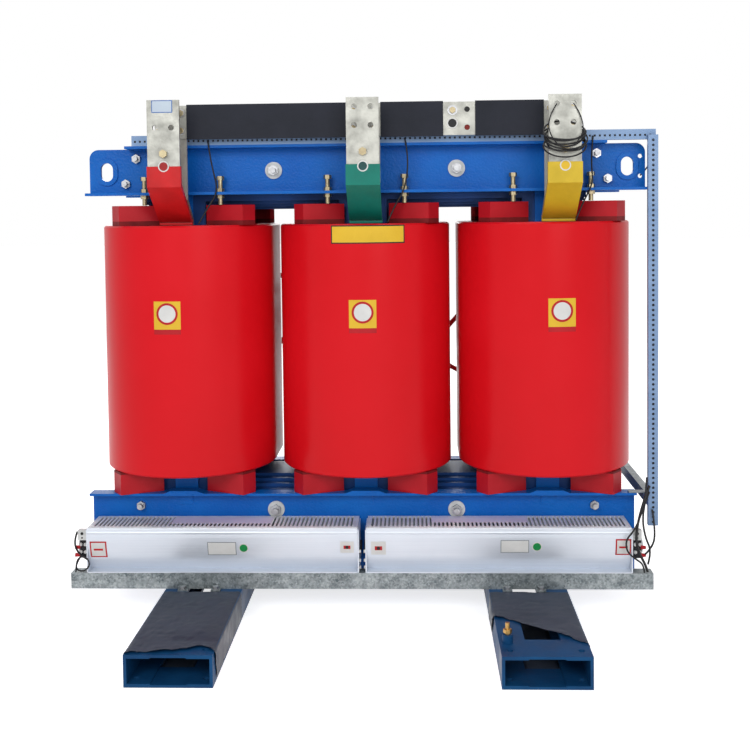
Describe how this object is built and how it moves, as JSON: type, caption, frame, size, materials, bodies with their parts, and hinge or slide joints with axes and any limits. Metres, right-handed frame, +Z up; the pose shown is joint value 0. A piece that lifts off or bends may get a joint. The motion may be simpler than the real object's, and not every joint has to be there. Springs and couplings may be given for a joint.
{
  "type": "dry type transformer",
  "caption": "Three-phase cast-resin dry transformer on base beams, with clamped core, racetrack coils, low-voltage bars, neutral bus and crossflow cooling fans.",
  "frame": {"origin": "on the ground under the middle coil, at the centre of the foot bolts", "axes": "+X along the row of coils, +Z up, the low-voltage side faces -Y"},
  "size_m": [1.504, 1.4, 1.306],
  "materials": {
    "aluminium": "mill finish",
    "base_steel": "satin",
    "block_red": "semi-gloss",
    "brass": "plain",
    "cable_black": "matt",
    "clamp_blue": "satin",
    "coil_red": "glossy cast resin",
    "core_blue": "satin",
    "film_grey": "crinkled film",
    "galvanised": "spangled zinc",
    "insulator_red": "glossy",
    "motor_black": "matt",
    "pad_dark": "matt",
    "rotor_aluminium": "mill finish",
    "sleeve_black": "satin",
    "sleeve_green": "satin",
    "sleeve_red": "satin",
    "sleeve_yellow": "satin",
    "terminal_white": "plain",
    "tie_steel": "satin",
    "tinned_bar": "tinned",
    "washer_white": "matt",
    "winding_resin": "semi-gloss",
    "zinc_white": "zinc",
    "zinc_yellow": "yellow zinc"
  },
  "bodies": {
    "frame": {"angle_bolts": "zinc_white", "bar_bolts": "zinc_white", "bar_spacers": "insulator_red", "base_beam_left": "base_steel", "base_beam_right": "base_steel", "block_pads": "pad_dark", "bolt_washers": "washer_white", "cable_hank": "cable_black", "clamp_bolts": "zinc_white", "delta_rods": "sleeve_red", "earth_bolt": "brass", "fan_angle_front": "galvanised", "fan_angle_rear": "galvanised", "fan_guards": "aluminium", "fan_housing_front": "aluminium", "fan_housing_rear": "aluminium", "fan_motors": "motor_black", "fan_plates": "aluminium", "fan_terminals": "terminal_white", "film_left": "film_grey", "film_right": "film_grey", "hv_coil_left": "coil_red", "hv_coil_middle": "coil_red", "hv_coil_right": "coil_red", "jacking_bolts": "zinc_yellow", "jacking_nuts": "zinc_yellow", "limb_left": "core_blue", "limb_middle": "core_blue", "limb_right": "core_blue", "lower_blocks": "block_red", "lower_clamp_front": "clamp_blue", "lower_clamp_rear": "clamp_blue", "lower_yoke": "core_blue", "lv_bar_left": "tinned_bar", "lv_bar_middle": "tinned_bar", "lv_bar_right": "tinned_bar", "lv_coil_left": "winding_resin", "lv_coil_middle": "winding_resin", "lv_coil_right": "winding_resin", "lv_sleeve_left": "sleeve_red", "lv_sleeve_middle": "sleeve_green", "lv_sleeve_right": "sleeve_yellow", "neutral_bus": "tinned_bar", "neutral_risers": "tinned_bar", "neutral_sleeves": "sleeve_black", "side_rail": "galvanised", "tap_links": "brass", "tap_studs": "brass", "tie_plates": "tie_steel", "upper_blocks": "block_red", "upper_clamp_front": "clamp_blue", "upper_clamp_rear": "clamp_blue", "upper_yoke": "core_blue", "wires": "cable_black", "wiring_post": "galvanised", "wiring_rail": "galvanised"},
    "rotor_front_left": {"fan_rotor_front_left": "rotor_aluminium"},
    "rotor_front_right": {"fan_rotor_front_right": "rotor_aluminium"},
    "rotor_rear_left": {"fan_rotor_rear_left": "rotor_aluminium"},
    "rotor_rear_right": {"fan_rotor_rear_right": "rotor_aluminium"}
  },
  "joints": [
    {"name": "rotor_front_left_spin", "type": "hinge", "parent": "frame", "child": "rotor_front_left", "pos_m": [0, -0.228, 0.166], "axis": [1, 0, 0], "continuous": true},
    {"name": "rotor_front_right_spin", "type": "hinge", "parent": "frame", "child": "rotor_front_right", "pos_m": [0, -0.228, 0.166], "axis": [1, 0, 0], "continuous": true},
    {"name": "rotor_rear_left_spin", "type": "hinge", "parent": "frame", "child": "rotor_rear_left", "pos_m": [0, 0.228, 0.166], "axis": [1, 0, 0], "continuous": true},
    {"name": "rotor_rear_right_spin", "type": "hinge", "parent": "frame", "child": "rotor_rear_right", "pos_m": [0, 0.228, 0.166], "axis": [1, 0, 0], "continuous": true}
  ]
}
